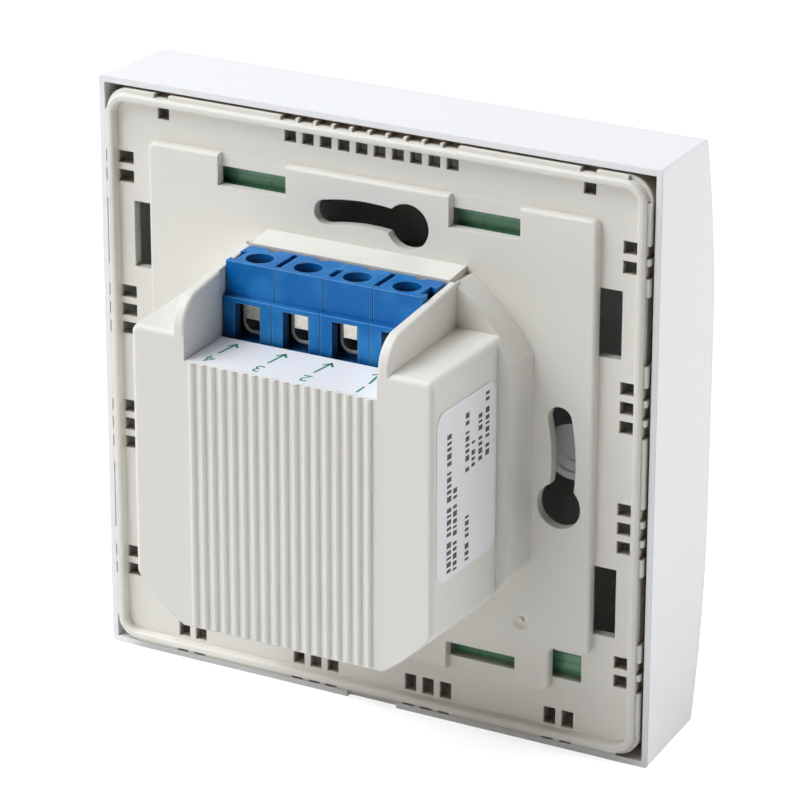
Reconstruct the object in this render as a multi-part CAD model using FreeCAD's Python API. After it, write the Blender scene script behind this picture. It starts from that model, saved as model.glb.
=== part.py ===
"""Wall-mounted microwave presence detector on a single square wall plate.

+X is to the right seen from the front, -Y points out of the front into the room,
+Y points into the wall box and +Z is up. The origin is the centre of the plane in
which the chassis's rear rim meets the wall. All sizes are in millimetres.
"""
import FreeCAD, Part
import math
import os

Vector = FreeCAD.Vector
ALONG_X = Vector(1, 0, 0)
ALONG_Y = Vector(0, 1, 0)
ALONG_Z = Vector(0, 0, 1)
SIDES = (-1, 1)

# Front cover
plate_half = 43.0
cover_rear = -1.4
cover_front = -21.45
cover_corner = -17.25
cover_flat_half = 12.0
cover_edge_wall = 0.9
cover_front_wall = 1.8
side_draft = 0.045
top_draft = 0.019
cover_edge_radius = 0.5
pry_notch_half = 3.9
pry_notch_depth = 0.8

# Chassis
chassis_clearance = 0.35
floor_thickness = 1.5
chassis_wall = 1.5
chassis_wall_end = -11.0
chassis_corner_radius = 3.6
band_width = 0.55
band_drop = 0.8
band_corner_gap = 3.35
bead_width = 1.1
bead_corner_radius = 3.1
bead_rounding = 0.4
plateau_half_width = 34.4
plateau_top = 35.0
plateau_bottom = -34.4
plateau_thickness = 1.5
plateau_rounding = 0.5
pocket_depth = 1.2
pocket_inner = 12.5
pocket_outer = 23.2
slot_height = 2.5
upper_slot_low = 30.55
lower_slot_high = -30.1
corner_notch_x = 28.35
corner_notch_z = 27.5
corner_hole_outer_x = 32.7
undercut = 1.3
corner_hole_low_z = 32.4
corner_hole_high_z = 28.35
gate_mark_x = -24.0
gate_mark_z = -24.4
gate_mark_radius = 1.35
gate_mark_depth = 0.45
gate_nub_radius = 0.35
gate_nub_height = 0.3

# Ventilation slots
vent_pitch = 2.76
vent_width = 1.8
vent_length = 2.5
bottom_vent_shift = 0.4
top_vent_length = 2.0
top_notch_width = 2.3
side_vent_places = (30.3, 9.1, -8.3, -29.5)
side_vent_counts = (2, 3, 3, 2)
bottom_vent_places = (29.35, 9.0, -9.0, -29.35)
bottom_vent_counts = (2, 3, 3, 2)
top_vent_places = (32.6, 0.1, -32.6)
top_vent_counts = (1, 10, 1)
clip_slot_inner = 34.6
clip_slot_outer = 37.65
clip_slot_spans = ((15.8, 25.5), (-24.6, -14.5))

# Keyholes for the wall box screws
fixing_radius = 30.15
entry_radius = 3.25
keyhole_slot_radius = 1.8
keyhole_half_angle = 12.0

# Side clips of the cover
clip_reach = 0.7
clip_depth = 1.2
clip_behind_floor = 0.4
clip_groove = 0.5
clip_side_gap = 0.5
catch_height = 0.4
catch_width = 0.8
catch_gap = 0.2

# Rear housing
collar_radius = 29.57
collar_beyond_box = 2.2
collar_half_height = 25.4
collar_draft = 0.062
circle_draft = 0.035
collar_depth = 6.3
collar_bar_depth = 4.8
collar_bar_half = 15.3
collar_bar_top = 25.6
collar_bar_draft = 0.11
collar_bar_wall = 1.0
bar_groove_width = 0.8
bar_groove_floor = 24.45
housing_depth = 23.5
housing_wall = 1.7
box_half_width = 23.3
box_draft = 0.026
box_drafted_from = 7.6
bottom_draft = 0.047
shoulder_top = 18.6
shoulder_draft = 0.02
shoulder_step = 0.5
shoulder_rounding = 0.8
cheek_inner = 15.15
cheek_inner_rear = 14.6
cheek_outer = 16.4
cheek_rounding = 0.45
cheek_top = 24.9
cheek_nose_top = 23.1
cheek_nose_start = housing_depth - 4.0
cheek_nose_low = 18.2
platform_top = 14.4
platform_thickness = 1.6
platform_gap = 0.7
rib_count = 18
rib_pitch = 1.58
rib_radius = 0.56
rib_sink = 0.12
rib_low = -24.0

# Boards and the screws that hold them
board_thickness = 1.6
control_board_half = 33.0
board_notch_half = 12.4
board_notch_inner = 24.6
control_screw_at = 24.4
control_boss_radius = 2.75
control_screw_radius = 0.9
control_screw_bite = 2.1
control_head_radius = 2.0
control_head_height = 1.4
power_board_front = 2.0
power_board_radius = 27.3
power_board_in_collar = 2.2
power_board_half_height = collar_half_height - 2.3
housing_screw_in_box = 4.1
housing_screw_z = 14.8
housing_pillar_radius = 3.4
housing_boss_radius = 2.8
housing_boss_depth = 9.0
housing_screw_radius = 1.1
housing_screw_length = 8.5
housing_head_radius = 2.4
housing_head_height = 1.8
housing_head_seat = 0.5
screw_clearance = 0.2
head_clearance = 0.3
cross_width = 0.7
cross_depth = 0.7

# Links between the boards
pin_pitch = 2.54
pin_half = 0.32
link_pin_count = 8
link_slot_half_height = 1.8
module_pin_count = 5
pin_strip_half = 1.27

# Microwave transceiver behind the front
antenna_half = 19.0
antenna_centre_z = 2.0
antenna_rear = -15.0
antenna_thickness = 1.0
patch_half = 6.2
patch_offset = 8.6
patch_thickness = 0.1
can_half_width = 11.0
can_half_height = 8.0
can_depth = 4.5
can_wall = 0.4
spacer_offset = 16.5
spacer_radius = 2.2
module_pin_z = -14.6

# Light window and guide
window_z = -22.5
window_radius = 3.1
window_clearance = 0.1
window_flange_radius = 4.2
window_flange_thickness = 0.8
window_dome = 0.35
guide_radius = 2.3
guide_base_radius = 3.4
guide_base_height = 2.0
guide_bore_radius = 2.6
guide_bore_over_sensor = 0.5
guide_gap = 0.6
sensor_offset = 1.05
sensor_half_width = 0.8
sensor_half_height = 1.3
sensor_height = 1.1

# Guide pillars inside the cover, in line with the side keyholes
pillar_x = 29.0
pillar_z = -0.3
pillar_radius = 4.05
pillar_end = -5.0
pillar_ring_radius = 3.0
pillar_ring_depth = 0.3
pillar_core_radius = 1.35
pillar_core_depth = 0.5

# Terminal blocks
pole_pitch = 7.5
terminal_shelf = 21.1
terminal_back = 5.3
foot_clearance = 0.2
terminal_upper_front = 11.8
terminal_front = 12.7
terminal_above_shelf = 3.8
terminal_ledge_drop = 1.0
terminal_foot_drop = 1.1
terminal_floor = 1.0
terminal_screw_y = 9.1
terminal_hole_radius = 2.0
terminal_head_radius = 1.85
terminal_head_height = 1.3
terminal_head_rounding = 0.25
terminal_head_above_shelf = 0.5
screw_slot_width = 0.8
screw_slot_depth = 0.9
thread_radius = 1.2
thread_clearance = 0.06
chamber_half_width = 2.6
chamber_back = 6.5
chamber_front = 11.15
entry_half_width = 2.0
entry_low = 13.75
entry_high = 19.4
back_notch_radius = 0.85
back_notch_drop = 5.0
seam_half = 0.06
seam_depth = 0.1
pole_slot_half = 0.45
pole_slot_wall = 0.3
pole_slot_front = 10.9
pole_slot_low = 16.0
tongue_centre_y = 9.2
tongue_neck_half = 1.15
tongue_end_half = 1.45
tongue_length = 0.75
tongue_drop = 3.2
groove_depth = 1.0
groove_clearance = 0.12

# Clamp cages and contact bars
cage_half_width = 2.0
cage_wall = 0.45
cage_corner = 1.6
cage_back = 7.0
cage_front = 10.4
cage_height = 4.75
cage_roof = 1.0
cage_travel = 1.7
cage_gap = 0.2
bar_half_width = 1.0
bar_thickness = 0.7
tab_half_width = 1.05
tab_top = 19.0
tab_thickness = 0.4
bar_pin_radius = 0.6
bar_pin_hole_gap = 0.15
bar_pin_tail = 1.5

# Labels
label_thickness = 0.12
label_margin = 0.1
rating_front = 6.8
rating_rear = housing_depth - 0.9
rating_low = -10.7
rating_high = 13.5
rating_corner = 2.0

# Parts on the power board, each with its centre and size
relay_in_box = 2.8
relay_z = -2.0
relay_size = (15.2, 18.6, 15.0)
film_in_box = 4.3
film_z = 6.9
film_size = (18.0, 8.2, 14.0)
smoothing_gap = 1.6
smoothing_z = -6.2
smoothing_radius = 5.0
smoothing_height = 13.0
inductor_in_box = 2.7
inductor_z = -5.0
inductor_radius = 4.2
inductor_height = 9.0
inductor_waist = 1.0
inductor_flange = 1.4
varistor_centre = (5.0, -16.6)
varistor_radius = 5.0
varistor_thickness = 3.6
varistor_lift = 0.8
fuse_from_screw = 9.6
fuse_z = -17.2
fuse_radius = 1.9
fuse_length = 10.0
fuse_lift = 0.4
fuse_lead_run = 1.2
lead_radius = 0.4
wire_radius = 0.3
part_rounding = 0.4

# Parts on the control board
controller_half = 5.0
controller_height = 1.4
controller_z = 9.0
component_width = 2.0
component_depth = 1.25
component_height = 0.8
component_spacing = 4.6
component_count = 6
component_x = 18.2

# Sizes that follow
chassis_half = plate_half - cover_edge_wall - chassis_clearance
bead_outer_half = chassis_half - band_width
bead_inner_half = bead_outer_half - bead_width
band_half_length = chassis_half - band_corner_gap
vent_inner = bead_inner_half - vent_length
floor_front = cover_rear - floor_thickness
cavity_front = -plateau_thickness
cavity_half_width = plateau_half_width - chassis_wall
upper_slot_high = upper_slot_low + slot_height
lower_slot_low = lower_slot_high - slot_height
control_front = floor_front - board_thickness
power_board_rear = power_board_front + board_thickness
collar_half_width = box_half_width + collar_beyond_box
power_board_half_width = collar_half_width - power_board_in_collar
housing_screw_x = box_half_width - housing_screw_in_box
platform_low = platform_top - platform_thickness
platform_start = terminal_front + platform_gap
terminal_top = terminal_shelf + terminal_above_shelf
terminal_ledge = terminal_shelf - terminal_ledge_drop
terminal_foot_top = terminal_shelf - terminal_foot_drop
terminal_head_seat = terminal_shelf + terminal_head_above_shelf
terminal_head_top = terminal_head_seat + terminal_head_height
cage_top = terminal_shelf - cage_travel - cage_gap
cage_low = cage_top - cage_height
chamber_low = cage_low - cage_gap
terminal_bottom = chamber_low - terminal_floor
bar_low = cage_low + cage_wall + cage_travel + cage_gap
relay_centre = (relay_size[0] / 2 + relay_in_box - box_half_width, relay_z)
film_centre = (box_half_width - film_in_box - film_size[0] / 2, film_z)
inductor_centre = (box_half_width - inductor_in_box - inductor_radius, inductor_z)
smoothing_centre = (inductor_centre[0] - inductor_radius - smoothing_gap - smoothing_radius, smoothing_z)
fuse_centre = (fuse_from_screw - housing_screw_x, fuse_z)
housing_inner_rear = housing_depth - housing_wall
arc_run = plate_half - cover_flat_half
arc_drop = cover_corner - cover_front
arc_radius = (arc_run ** 2 + arc_drop ** 2) / (2 * arc_drop)
pole_centres = [(index - 1.5) * pole_pitch for index in range(4)][::-1]
beyond = 60.0


def box(x0, x1, y0, y1, z0, z1):
    """A block between two corners."""
    return Part.makeBox(x1 - x0, y1 - y0, z1 - z0, Vector(x0, y0, z0))


def rod(radius, x, y, z, direction, length):
    """A cylinder from a point along a direction."""
    return Part.makeCylinder(radius, length, Vector(x, y, z), direction)


def rod_y(radius, x, z, y0, y1):
    """A cylinder along Y between two depths."""
    return rod(radius, x, y0, z, ALONG_Y, y1 - y0)


def fuse(first, *others):
    """Join shapes into one solid without seams."""
    return first.fuse(list(others)).removeSplitter()


def cut(shape, *tools):
    """Take tools out of a shape."""
    return shape.cut(list(tools))


def mirror_x(shape):
    """The shape on the other side of the plane X = 0."""
    return shape.mirror(Vector(0, 0, 0), ALONG_X)


def round_edges(shape, radius, chosen):
    """Round the edges that a test on each edge chooses."""
    edges = [edge for edge in shape.Edges if chosen(edge)]
    return shape.makeFillet(radius, edges)


def runs_along(edge, direction):
    """Whether an edge is straight and runs along a direction."""
    if not isinstance(edge.Curve, Part.Line):
        return False
    ends = edge.Vertexes
    way = ends[-1].Point.sub(ends[0].Point)
    return abs(way.dot(direction)) > 0.999 * way.Length


def section(y, half_x, z_low, z_high):
    """A rectangle across the depth axis."""
    corners = [(-half_x, z_low), (half_x, z_low), (half_x, z_high), (-half_x, z_high)]
    points = [Vector(x, y, z) for x, z in corners]
    return Part.makePolygon(points + points[:1])


def tapered(y0, y1, half_x, z_low, z_high, x_draft, low_draft, high_draft):
    """A block along Y whose sides draw in by a draft for each millimetre of depth."""
    run = y1 - y0
    far = section(y1, half_x - x_draft * run, z_low + low_draft * run, z_high - high_draft * run)
    return Part.makeLoft([section(y0, half_x, z_low, z_high), far], True, True)


def square_ring_body(half, radius, y0, y1):
    """A square block along Y with rounded corners."""
    body = box(-half, half, y0, y1, -half, half)
    return round_edges(body, radius, lambda edge: runs_along(edge, ALONG_Y))


def polar(radius, degrees, y=0.0):
    """A point at an angle from the top, turning towards +X."""
    angle = math.radians(degrees)
    return Vector(radius * math.sin(angle), y, radius * math.cos(angle))


def turned(shape, degrees):
    """The shape turned about the depth axis, from the top towards +X."""
    copy = shape.copy()
    copy.rotate(Vector(0, 0, 0), ALONG_Y, degrees)
    return copy


def front_space(inset):
    """All the space behind the cover's curved front, which is flat in the middle."""
    flat_y = cover_front + inset
    radius = arc_radius - inset
    reach = plate_half + 2.0
    middle = (cover_flat_half + reach) / 2

    def on_arc(z):
        rise = radius - math.sqrt(radius ** 2 - (abs(z) - cover_flat_half) ** 2)
        return Vector(-beyond, flat_y + rise, z)

    low = [on_arc(-reach), on_arc(-middle), on_arc(-cover_flat_half)]
    high = [on_arc(cover_flat_half), on_arc(middle), on_arc(reach)]
    behind = [Vector(-beyond, beyond, reach), Vector(-beyond, beyond, -reach)]
    edges = [
        Part.Arc(*low).toShape(),
        Part.LineSegment(low[-1], high[0]).toShape(),
        Part.Arc(*high).toShape(),
        Part.LineSegment(high[-1], behind[0]).toShape(),
        Part.LineSegment(behind[0], behind[1]).toShape(),
        Part.LineSegment(behind[1], low[0]).toShape(),
    ]
    return Part.Face(Part.Wire(edges)).extrude(Vector(2 * beyond, 0, 0))


def drafted_square(half, y_front):
    """A block from the cover's rear plane forwards that follows the cover's draft."""
    run = cover_rear - y_front
    rear = section(cover_rear, half, -half, half)
    front_z = half - top_draft * run
    front = section(y_front, half - side_draft * run, -front_z, front_z)
    return Part.makeLoft([rear, front], True, True)


def front_at(z, inset=0.0):
    """The depth of the cover's front, or of its inner face, at a height."""
    run = max(abs(z) - cover_flat_half, 0.0)
    radius = arc_radius - inset
    return cover_front + inset + radius - math.sqrt(radius ** 2 - run ** 2)


def clip_spans():
    """Side and height span of each side clip, in line with the chassis's clip slots."""
    for side in SIDES:
        for low, high in clip_slot_spans:
            yield side, low + clip_side_gap, high - clip_side_gap


def fascia_cover():
    """The white front cover: a drafted square shell with a curved front."""
    deep = cover_front - 1.0
    body = drafted_square(plate_half, deep).common(front_space(0.0))
    body = round_edges(body, cover_edge_radius, lambda edge: edge.BoundBox.YMin < cover_rear - 1.0)
    hollow = drafted_square(plate_half - cover_edge_wall, deep).common(front_space(cover_front_wall))
    body = cut(body, hollow)
    pillar_front = front_at(pillar_z, cover_front_wall) - 0.5
    for side in SIDES:
        pillar = rod_y(pillar_radius, side * pillar_x, pillar_z, pillar_front, pillar_end)
        ring = rod_y(pillar_ring_radius, side * pillar_x, pillar_z, pillar_end - pillar_ring_depth, 0)
        core = rod_y(pillar_core_radius, side * pillar_x, pillar_z, pillar_end - pillar_core_depth, 0)
        body = cut(body.fuse(pillar), ring, core)
    inner_half = plate_half - cover_edge_wall
    clip_rear = floor_front - clip_behind_floor
    for side, low, high in clip_spans():
        reach = inner_half - side_draft * (cover_rear - clip_rear + clip_depth) - clip_reach
        nib = box(reach, inner_half + cover_edge_wall / 2, clip_rear - clip_depth, clip_rear, low, high)
        body = body.fuse(nib if side > 0 else mirror_x(nib))
    window = rod_y(window_radius + window_clearance, 0, window_z, cover_front - 1, 0)
    notch = box(-pry_notch_half, pry_notch_half, cover_rear - pry_notch_depth, 0,
                -plate_half - 1, -plate_half + 2)
    return cut(body, window, notch).removeSplitter()


def window_lens():
    """The small light window, flanged behind the cover's front and slightly domed."""
    seat = front_at(window_z + window_flange_radius, cover_front_wall)
    seat = max(seat, front_at(window_z - window_flange_radius, cover_front_wall))
    face = front_at(window_z)
    body = rod_y(window_radius, 0, window_z, face - window_dome, seat)
    body = round_edges(body, window_dome, lambda edge: edge.BoundBox.YMax < face)
    flange = rod_y(window_flange_radius, 0, window_z, seat, seat + window_flange_thickness)
    return fuse(body, flange)


def vent_cutters():
    """The rows of narrow slots along the chassis's four sides."""
    cutters = []

    def row(places, counts):
        for centre, count in zip(places, counts):
            for index in range(count):
                yield centre + (index - (count - 1) / 2) * vent_pitch

    half = vent_width / 2
    top_half = top_notch_width / 2
    deep = floor_front - 1
    for z in row(side_vent_places, side_vent_counts):
        for side in SIDES:
            slot = box(vent_inner, vent_inner + vent_length, deep, 1, z - half, z + half)
            notch = box(bead_outer_half, plate_half, floor_front, 1, z - half, z + half)
            cutters += [slot, notch] if side > 0 else [mirror_x(slot), mirror_x(notch)]
    for x in row(bottom_vent_places, bottom_vent_counts):
        low = bottom_vent_shift - bead_inner_half
        cutters.append(box(x - half, x + half, deep, 1, low, low + vent_length))
        cutters.append(box(x - half, x + half, floor_front, 1, -plate_half, -bead_outer_half))
    for x in row(top_vent_places, top_vent_counts):
        cutters.append(box(x - half, x + half, deep, 1, bead_inner_half - top_vent_length, bead_inner_half))
        cutters.append(box(x - top_half, x + top_half, floor_front, 1, bead_outer_half, plate_half))
    return cutters


def keyhole_cutter(depth):
    """One keyhole at the top: a round entry and a curved slot about the centre."""
    start = polar(fixing_radius, -keyhole_half_angle)
    end = polar(fixing_radius, keyhole_half_angle)
    outer = fixing_radius + keyhole_slot_radius
    inner = fixing_radius - keyhole_slot_radius
    along_start = polar(1.0, -keyhole_half_angle - 90).multiply(keyhole_slot_radius)
    along_end = polar(1.0, keyhole_half_angle + 90).multiply(keyhole_slot_radius)
    edges = [
        Part.Arc(polar(outer, -keyhole_half_angle), polar(outer, 0), polar(outer, keyhole_half_angle)),
        Part.Arc(polar(outer, keyhole_half_angle), end.add(along_end), polar(inner, keyhole_half_angle)),
        Part.Arc(polar(inner, keyhole_half_angle), polar(inner, 0), polar(inner, -keyhole_half_angle)),
        Part.Arc(polar(inner, -keyhole_half_angle), start.add(along_start),
                 polar(outer, -keyhole_half_angle)),
    ]
    face = Part.Face(Part.Wire([edge.toShape() for edge in edges]))
    face.translate(Vector(0, -depth, 0))
    slot = face.extrude(Vector(0, 2 * depth, 0))
    entry = rod_y(entry_radius, start.x, start.z, -depth, depth)
    return slot.fuse(entry)


def plateau():
    """The raised part of the chassis with its rounded edge and notched lower corners."""
    body = box(-plateau_half_width, plateau_half_width, floor_front, 0, plateau_bottom, plateau_top)
    for side in SIDES:
        notch = box(corner_notch_x, plate_half, cover_rear, 1, -plate_half, -corner_notch_z)
        body = cut(body, notch if side > 0 else mirror_x(notch))
    body = round_edges(body, plateau_rounding * 2,
                       lambda edge: runs_along(edge, ALONG_Y) and edge.Length > 0.5)
    return round_edges(body, plateau_rounding, lambda edge: edge.BoundBox.YMin > -0.001)


def chassis_rim():
    """The rounded bead round the chassis and the band outside it, cut away at the corners."""
    bead = square_ring_body(bead_outer_half, bead_corner_radius, cover_rear, 0)
    inner_radius = bead_corner_radius - (bead_outer_half - bead_inner_half)
    bead = cut(bead, square_ring_body(bead_inner_half, inner_radius, cover_rear - 1, 1))
    bead = round_edges(bead, bead_rounding, lambda edge: edge.BoundBox.YMin > -0.001)
    pieces = [bead]
    for quarter in range(4):
        band = box(-band_half_length, band_half_length, cover_rear, -band_drop,
                   bead_outer_half - 0.2, chassis_half)
        pieces.append(turned(band, quarter * 90))
    return pieces


def chassis_walls():
    """The floor and the drafted side walls that reach forwards inside the cover."""
    plan = square_ring_body(chassis_half, chassis_corner_radius, chassis_wall_end, cover_rear)
    outer = drafted_square(chassis_half, chassis_wall_end).common(plan)
    inner_half = chassis_half - chassis_wall
    inner_radius = chassis_corner_radius - chassis_wall
    hollow_plan = square_ring_body(inner_half, inner_radius, chassis_wall_end - 1, floor_front)
    hollow = drafted_square(inner_half, chassis_wall_end - 1).common(hollow_plan)
    walls = cut(outer, hollow)
    groove_floor = chassis_half - side_draft * (cover_rear - chassis_wall_end) - clip_groove
    catch_rear = floor_front - clip_behind_floor - clip_depth - catch_gap
    for side, low, high in clip_spans():
        groove = box(groove_floor, plate_half, chassis_wall_end - 1, floor_front,
                     low - clip_side_gap, high + clip_side_gap)
        catch = box(groove_floor, groove_floor + catch_height, catch_rear - catch_width, catch_rear,
                    low - clip_side_gap, high + clip_side_gap)
        groove = cut(groove, catch)
        walls = cut(walls, groove if side > 0 else mirror_x(groove))
    return walls


def rear_chassis():
    """The off-white tray that carries the boards and stands against the wall."""
    body = chassis_walls().fuse([plateau()] + chassis_rim())
    pocket_floor = -pocket_depth
    cavity = box(-cavity_half_width, cavity_half_width, floor_front - 1, cavity_front,
                 lower_slot_low, upper_slot_high)
    keep_corner = box(corner_notch_x - chassis_wall, plate_half, floor_front - 2, 0,
                      -plate_half, -corner_notch_z + chassis_wall)
    cavity = cut(cavity, keep_corner, mirror_x(keep_corner))
    tools = [cavity]
    for side in SIDES:
        left, right = sorted((side * pocket_inner, side * pocket_outer))
        tools.append(box(left, right, pocket_floor, 1, upper_slot_low, plateau_top + 1))
        tools.append(box(left, right, pocket_floor, 1, plateau_bottom - 1, lower_slot_high))
        tools.append(box(left, right, floor_front - 1, 1, upper_slot_low, upper_slot_high))
        tools.append(box(left, right, floor_front - 1, 1, lower_slot_low, lower_slot_high))
        left, right = sorted((side * corner_notch_x, side * corner_hole_outer_x))
        tools.append(box(left, right, floor_front - 1, 1, -corner_hole_low_z, -corner_hole_high_z))
        left, right = sorted((side * (corner_notch_x - undercut), side * corner_hole_outer_x))
        tools.append(box(left, right, floor_front - 1, cover_rear, -corner_hole_low_z, -corner_hole_high_z))
        for low, high in clip_slot_spans:
            left, right = sorted((side * clip_slot_inner, side * clip_slot_outer))
            tools.append(box(left, right, floor_front - 1, 1, low, high))
            left, right = sorted((side * (clip_slot_inner - undercut), side * clip_slot_outer))
            tools.append(box(left, right, floor_front - 1, cover_rear, low, high))
            left, right = sorted((side * bead_outer_half, side * plate_half))
            tools.append(box(left, right, floor_front, 1, low, high))
    body = cut(body, *(tools + vent_cutters()))
    for x, z in screw_places(control_screw_at, control_screw_at):
        boss = rod_y(control_boss_radius, x, z, floor_front, cavity_front)
        bore = rod_y(control_screw_radius, x, z, floor_front, floor_front + control_screw_bite)
        body = cut(body.fuse(boss), bore)
    for x, z in screw_places(housing_screw_x, housing_screw_z):
        pillar = rod_y(housing_pillar_radius, x, z, cavity_front, power_board_front)
        hole = rod_y(housing_screw_radius + screw_clearance, x, z, floor_front, power_board_front)
        recess = rod_y(housing_head_radius + head_clearance, x, z, floor_front, housing_head_seat)
        body = cut(body.fuse(pillar), hole, recess)
    keyhole = keyhole_cutter(3 * plateau_thickness)
    body = cut(body, *[turned(keyhole, quarter * 90) for quarter in range(4)])
    link_half = link_pin_count * pin_pitch / 2 + 0.4
    link_slot = box(-link_half, link_half, floor_front, 1, -link_slot_half_height, link_slot_half_height)
    ball_radius = (gate_mark_radius ** 2 + gate_mark_depth ** 2) / (2 * gate_mark_depth)
    ball_centre = Vector(gate_mark_x, ball_radius - gate_mark_depth, gate_mark_z)
    gate_mark = Part.makeSphere(ball_radius, ball_centre)
    gate_nub = rod_y(gate_nub_radius, gate_mark_x, gate_mark_z, -1.0, gate_nub_height - gate_mark_depth)
    return cut(body, link_slot, cut(gate_mark, gate_nub)).removeSplitter()


def screw_places(x, z):
    """The four places of a screw pattern that is the same in every quarter."""
    return [(side_x * x, side_z * z) for side_x in SIDES for side_z in SIDES]


def collar_solid(inset, y_end):
    """The round collar cut by its flats, or the space inside it."""
    round_part = Part.makeCone(collar_radius - inset, collar_radius - inset - circle_draft * y_end,
                               y_end, Vector(0, 0, 0), ALONG_Y)
    flats = tapered(0, y_end, collar_half_width - inset, -collar_half_height + inset,
                    collar_half_height - inset, collar_draft, bottom_draft, collar_draft)
    return round_part.common(flats)


def box_solid(inset, y_end, top, top_draft_here):
    """The box behind the collar, cut by the same drafted circle."""
    half_x = box_half_width + box_draft * box_drafted_from - inset
    top_at_wall = top + top_draft_here * collar_bar_depth
    flats = tapered(0, y_end, half_x, -collar_half_height + inset, top_at_wall,
                    box_draft, bottom_draft, top_draft_here)
    round_part = Part.makeCone(collar_radius - inset, collar_radius - inset - circle_draft * y_end,
                               y_end, Vector(0, 0, 0), ALONG_Y)
    return round_part.common(flats)


def plan_prism(points, z_low, z_high):
    """A prism over points given in the plan view from above."""
    corners = [Vector(x, y, z_low) for x, y in points]
    face = Part.Face(Part.makePolygon(corners + corners[:1]))
    return face.extrude(Vector(0, 0, z_high - z_low))


def cheek_profile():
    """The cheeks seen from the side: a sloping top edge and a rounded nose."""
    nose = (cheek_nose_start + housing_depth) / 2 + 0.85
    nose_z = (cheek_nose_top + cheek_nose_low) / 2 + 1.0
    slope = (cheek_top - cheek_nose_top) / (cheek_nose_start - collar_bar_depth)
    top_at_wall = cheek_top + slope * collar_bar_depth
    points = [
        Vector(-beyond, 0, top_at_wall),
        Vector(-beyond, cheek_nose_start, cheek_nose_top),
        Vector(-beyond, nose, nose_z),
        Vector(-beyond, housing_depth, cheek_nose_low),
        Vector(-beyond, housing_depth, platform_low),
        Vector(-beyond, 0, platform_low),
    ]
    edges = [
        Part.LineSegment(points[0], points[1]).toShape(),
        Part.Arc(points[1], points[2], points[3]).toShape(),
        Part.LineSegment(points[3], points[4]).toShape(),
        Part.LineSegment(points[4], points[5]).toShape(),
        Part.LineSegment(points[5], points[0]).toShape(),
    ]
    return Part.Face(Part.Wire(edges)).extrude(Vector(2 * beyond, 0, 0))


def collar_bar():
    """The flat bar across the top of the collar, in front of the terminals."""
    return tapered(0, collar_bar_depth, collar_bar_half, platform_low, collar_bar_top, 0.0, 0.0,
                   collar_bar_draft)


def cheek(side):
    """One of the two plates beside the terminals, with rounded top edges."""
    start = collar_bar_depth - collar_bar_wall
    outline = [(cheek_inner, start), (cheek_outer, start), (cheek_outer, housing_depth),
               (cheek_inner_rear, housing_depth)]
    plate = plan_prism([(side * x, y) for x, y in outline], platform_low, beyond).common(cheek_profile())
    return round_edges(plate, cheek_rounding,
                       lambda edge: edge.BoundBox.YLength > 1 and edge.BoundBox.ZMax > cheek_nose_low + 1)


def rounded_shoulders():
    """The box behind the collar, with its top and rear edges rounded."""
    shoulders = box_solid(0, housing_depth, shoulder_top, shoulder_draft)
    top_low = shoulder_top - shoulder_draft * housing_depth - shoulder_rounding

    def chosen(edge):
        bounds = edge.BoundBox
        rear = bounds.YMin > housing_depth - 0.1
        top = bounds.ZMin > top_low
        side_top = top and bounds.YMax > housing_depth - 0.1 and bounds.YLength > housing_depth / 3
        return side_top or (rear and top) or (rear and runs_steeply(edge))

    return round_edges(shoulders, shoulder_rounding, chosen)


def runs_steeply(edge):
    """Whether an edge is mainly upright."""
    return edge.BoundBox.ZLength > 4 * edge.BoundBox.XLength


def rear_housing():
    """The drafted housing behind the plateau, open above the terminal block."""
    body = collar_solid(0, collar_depth)
    above = box(-beyond, beyond, collar_bar_depth, beyond, shoulder_top - shoulder_step, beyond)
    body = cut(body, above).fuse([rounded_shoulders(), collar_bar()])
    for side in SIDES:
        body = body.fuse(cheek(side))
        groove = box(collar_bar_half, collar_bar_half + bar_groove_width, -1, collar_bar_depth,
                     bar_groove_floor, beyond)
        body = cut(body, groove if side > 0 else mirror_x(groove))
    rib_half = rib_count * rib_pitch / 2
    recess_plan = [(-cheek_inner, collar_bar_depth), (cheek_inner, collar_bar_depth),
                   (cheek_inner_rear, housing_depth), (cheek_inner_rear, housing_depth + 1),
                   (-cheek_inner_rear, housing_depth + 1), (-cheek_inner_rear, housing_depth)]
    recess = plan_prism(recess_plan, platform_top, beyond)
    block_well = box(-cheek_inner, cheek_inner, collar_bar_depth, platform_start, platform_low - 1, beyond)
    foot_way = box(-cheek_inner, cheek_inner, power_board_rear, collar_bar_depth + 1, platform_low - 1,
                   terminal_foot_top + foot_clearance)
    inside = collar_solid(housing_wall, collar_depth)
    low_part = box(-beyond, beyond, -1, collar_depth - housing_wall, -beyond, platform_low)
    high_part = box(-beyond, beyond, -1, collar_bar_depth - collar_bar_wall, platform_low - 1, beyond)
    lower = box_solid(housing_wall, housing_inner_rear, platform_low, 0.0)
    upper = box_solid(housing_wall, housing_inner_rear, shoulder_top - housing_wall, shoulder_draft)
    middle = box(-cheek_inner - housing_wall, cheek_inner + housing_wall, -1, beyond, platform_low, beyond)
    upper = cut(upper, middle)
    body = cut(body, inside.common(low_part), inside.common(high_part), lower, upper, recess, block_well,
               foot_way)
    ribs = []
    for index in range(rib_count):
        x = (index + 0.5) * rib_pitch - rib_half
        ribs.append(rod(rib_radius, x, housing_depth - rib_sink, rib_low, ALONG_Z, platform_top - rib_low))
    body = body.fuse(ribs)
    for x, z in screw_places(housing_screw_x, housing_screw_z):
        boss = rod_y(housing_boss_radius, x, z, power_board_rear, power_board_rear + housing_boss_depth)
        inside = box_solid(housing_wall / 2, housing_inner_rear, shoulder_top - housing_wall / 2,
                           shoulder_draft)
        bore = rod_y(housing_screw_radius, x, z, power_board_rear - 1,
                     housing_head_seat + housing_screw_length)
        body = cut(body.fuse(boss.common(inside)), bore)
    return body.removeSplitter()


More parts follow.
